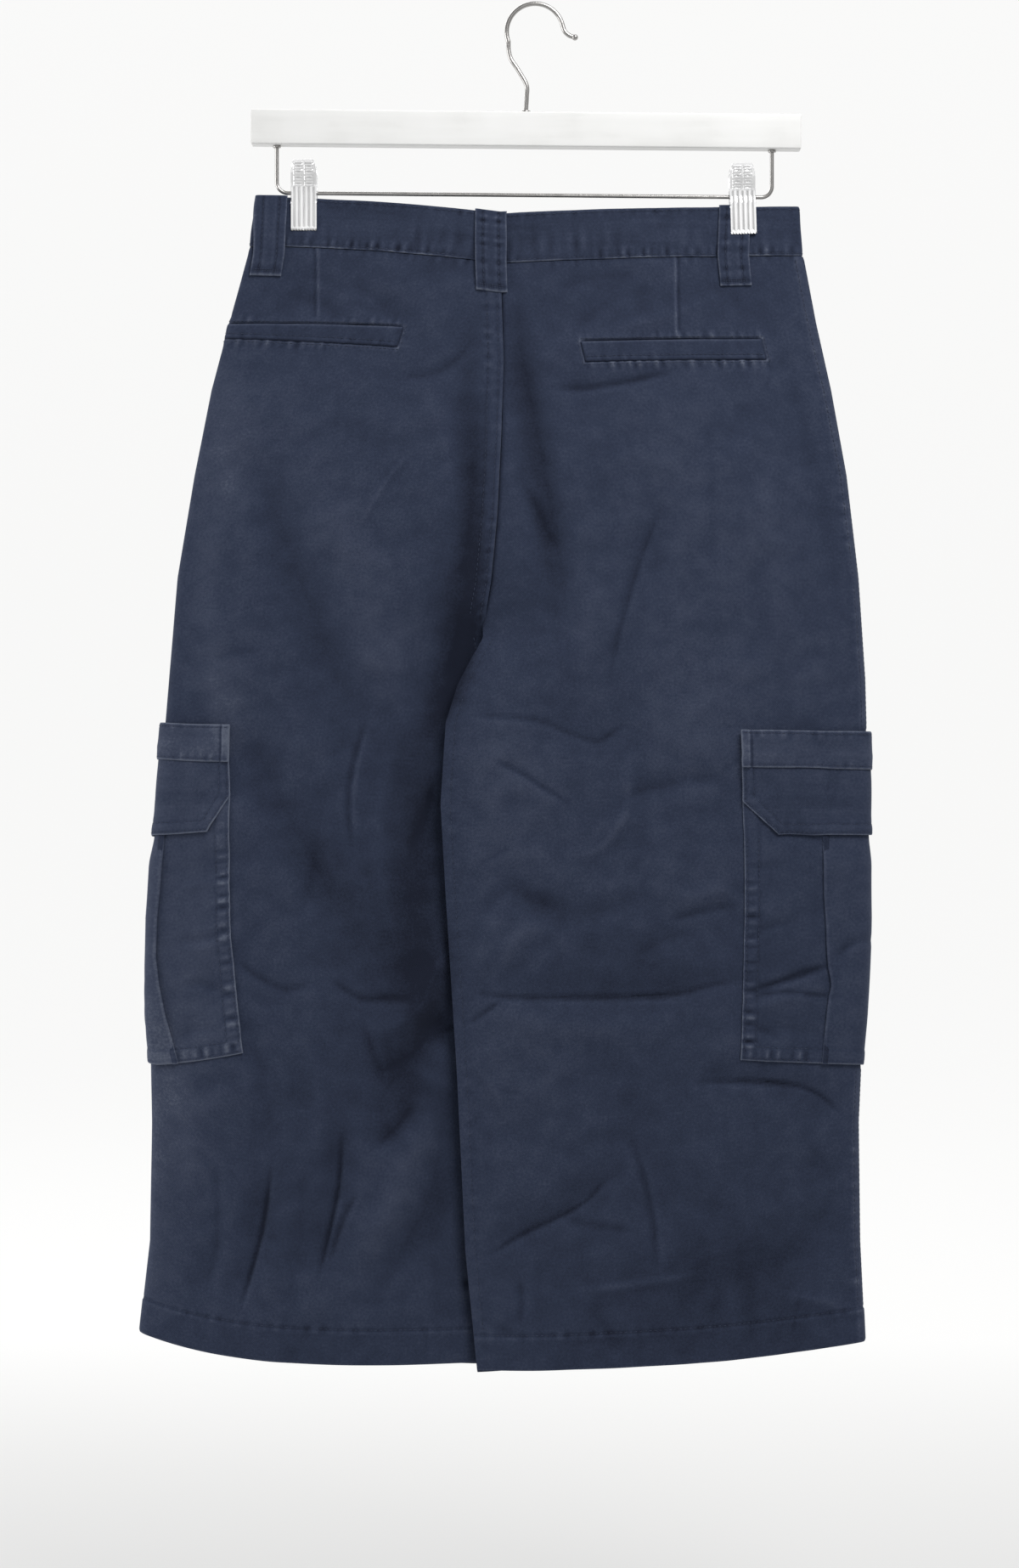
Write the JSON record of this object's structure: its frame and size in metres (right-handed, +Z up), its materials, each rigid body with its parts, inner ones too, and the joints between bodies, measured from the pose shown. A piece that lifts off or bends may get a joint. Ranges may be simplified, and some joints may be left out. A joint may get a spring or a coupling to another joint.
{
  "type": "cargo shorts on a clip hanger",
  "caption": "Navy cotton three-quarter cargo shorts with flapped pleated side pockets, hanging flat from a white bar hanger with chrome clips.",
  "frame": {"origin": "inside top of the hanger's hook, where a peg or knob carries it", "axes": "+Z up; the garment's back faces -Y, its left leg lies towards -X and its right leg towards +X"},
  "size_m": [0.4737, 0.0444, 0.8854],
  "materials": {
    "twill": "matt cotton twill, slightly worn",
    "twill_trim": "matt cotton twill, worn paler along its stitched edges",
    "button": "satin dyed-to-match plastic",
    "painted_wood": "white satin paint",
    "steel_wire": "bright plated wire",
    "clip_chrome": "bright chrome, pressed ridges"
  },
  "bodies": {
    "root": {"back_panel_left": "twill", "back_panel_right": "twill", "front_panel_left": "twill", "front_panel_right": "twill", "waistband": "twill_trim", "fly_placket": "twill", "back_welt_left": "twill", "back_welt_right": "twill", "hand_pocket_edge_left": "twill", "hand_pocket_edge_right": "twill", "belt_loop_back_left": "twill_trim", "belt_loop_back_right": "twill_trim", "belt_loop_centre_back": "twill_trim", "belt_loop_front_left": "twill_trim", "belt_loop_front_right": "twill_trim", "cargo_pocket_left": "twill", "cargo_pocket_right": "twill", "cargo_flap_left": "twill_trim", "cargo_flap_right": "twill_trim", "cargo_band_left": "twill_trim", "cargo_band_right": "twill_trim", "waist_button": "button", "hanger_bar": "painted_wood", "hanger_hook": "steel_wire", "hanger_rail": "steel_wire", "clip_left_back_jaw": "clip_chrome", "clip_left_front_jaw": "clip_chrome", "clip_left_spring": "steel_wire", "clip_right_back_jaw": "clip_chrome", "clip_right_front_jaw": "clip_chrome", "clip_right_spring": "steel_wire"}
  },
  "joints": []
}
